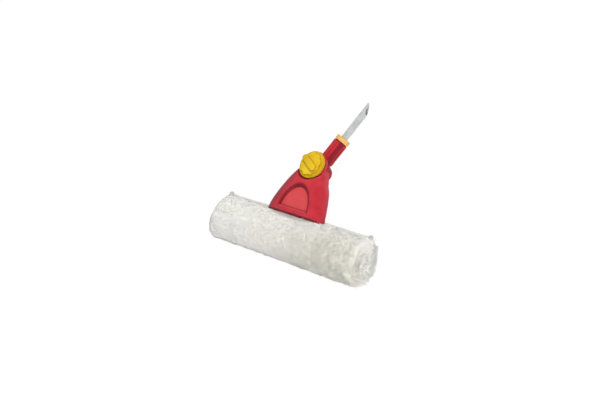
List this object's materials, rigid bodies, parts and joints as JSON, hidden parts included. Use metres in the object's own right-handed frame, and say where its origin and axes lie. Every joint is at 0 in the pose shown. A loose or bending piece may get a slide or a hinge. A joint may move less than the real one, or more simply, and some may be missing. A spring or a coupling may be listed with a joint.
{
  "type": "window washer head",
  "caption": "Window washer head: fleece sleeve on a crossbar, red domed holder with an arch recess, yellow clamp knob, and a swivelling fluted socket with a yellow collar and steel tang.",
  "frame": {"origin": "On the surface that the head lies on, under the middle of the crossbar's axis", "axes": "+X along the crossbar, +Y from the crossbar to the tang, +Z out of the holder's front"},
  "size_m": [0.2514, 0.2296, 0.0434],
  "materials": {
    "red_plastic": "moulded red plastic with a soft sheen",
    "yellow_plastic": "moulded yellow plastic",
    "grey_plastic": "plain moulded grey plastic, hidden in the sleeve",
    "fleece": "off-white fleece pile on a woven backing",
    "hem_tape": "woven tape, folded and sewn",
    "stud_metal": "dull nickel plating",
    "tang_steel": "rolled steel, zinc plated, drawn marks along its length",
    "zinc_steel": "zinc-plated fastener"
  },
  "bodies": {
    "head": {"carrier_bar": "grey_plastic", "end_cap_left": "grey_plastic", "end_cap_right": "grey_plastic", "fleece_sleeve": "fleece", "front_hem_left": "hem_tape", "front_hem_right": "hem_tape", "rear_hem_left": "hem_tape", "rear_hem_right": "hem_tape", "press_stud_cap_left": "stud_metal", "press_stud_cap_right": "stud_metal", "press_stud_socket_left": "stud_metal", "press_stud_socket_right": "stud_metal", "press_stud_ball_left": "stud_metal", "press_stud_ball_right": "stud_metal", "press_stud_back_left": "stud_metal", "press_stud_back_right": "stud_metal", "fan_front_shell": "red_plastic", "fan_rear_shell": "red_plastic", "shell_screw_1": "zinc_steel", "shell_screw_2": "zinc_steel", "shell_screw_3": "zinc_steel", "shell_screw_4": "zinc_steel", "shell_screw_5": "zinc_steel", "shell_screw_6": "zinc_steel", "pivot_bolt": "zinc_steel"},
    "handle": {"handle_socket": "red_plastic", "collar_ring": "yellow_plastic", "tang": "tang_steel"},
    "washer": {"pressure_washer": "zinc_steel"},
    "knob": {"clamp_knob": "yellow_plastic", "knob_nut": "zinc_steel"}
  },
  "joints": [
    {"name": "handle_swivel", "type": "hinge", "parent": "head", "child": "handle", "pos_m": [0, 0.096, 0.018], "axis": [0, 0, 1], "range_deg": [-41.5, 78.5]},
    {"name": "knob_travel", "type": "slide", "parent": "head", "child": "washer", "axis": [0, 0, 1], "range_m": [0, 0.0016]},
    {"name": "knob_turn", "type": "hinge", "parent": "washer", "child": "knob", "pos_m": [0, 0.096, 0.018], "axis": [0, 0, 1], "range_deg": [0, 540]}
  ],
  "couplings": [
    {"joint": "knob_travel", "follows": "knob_turn", "m_per_rad": 0.00015915}
  ]
}
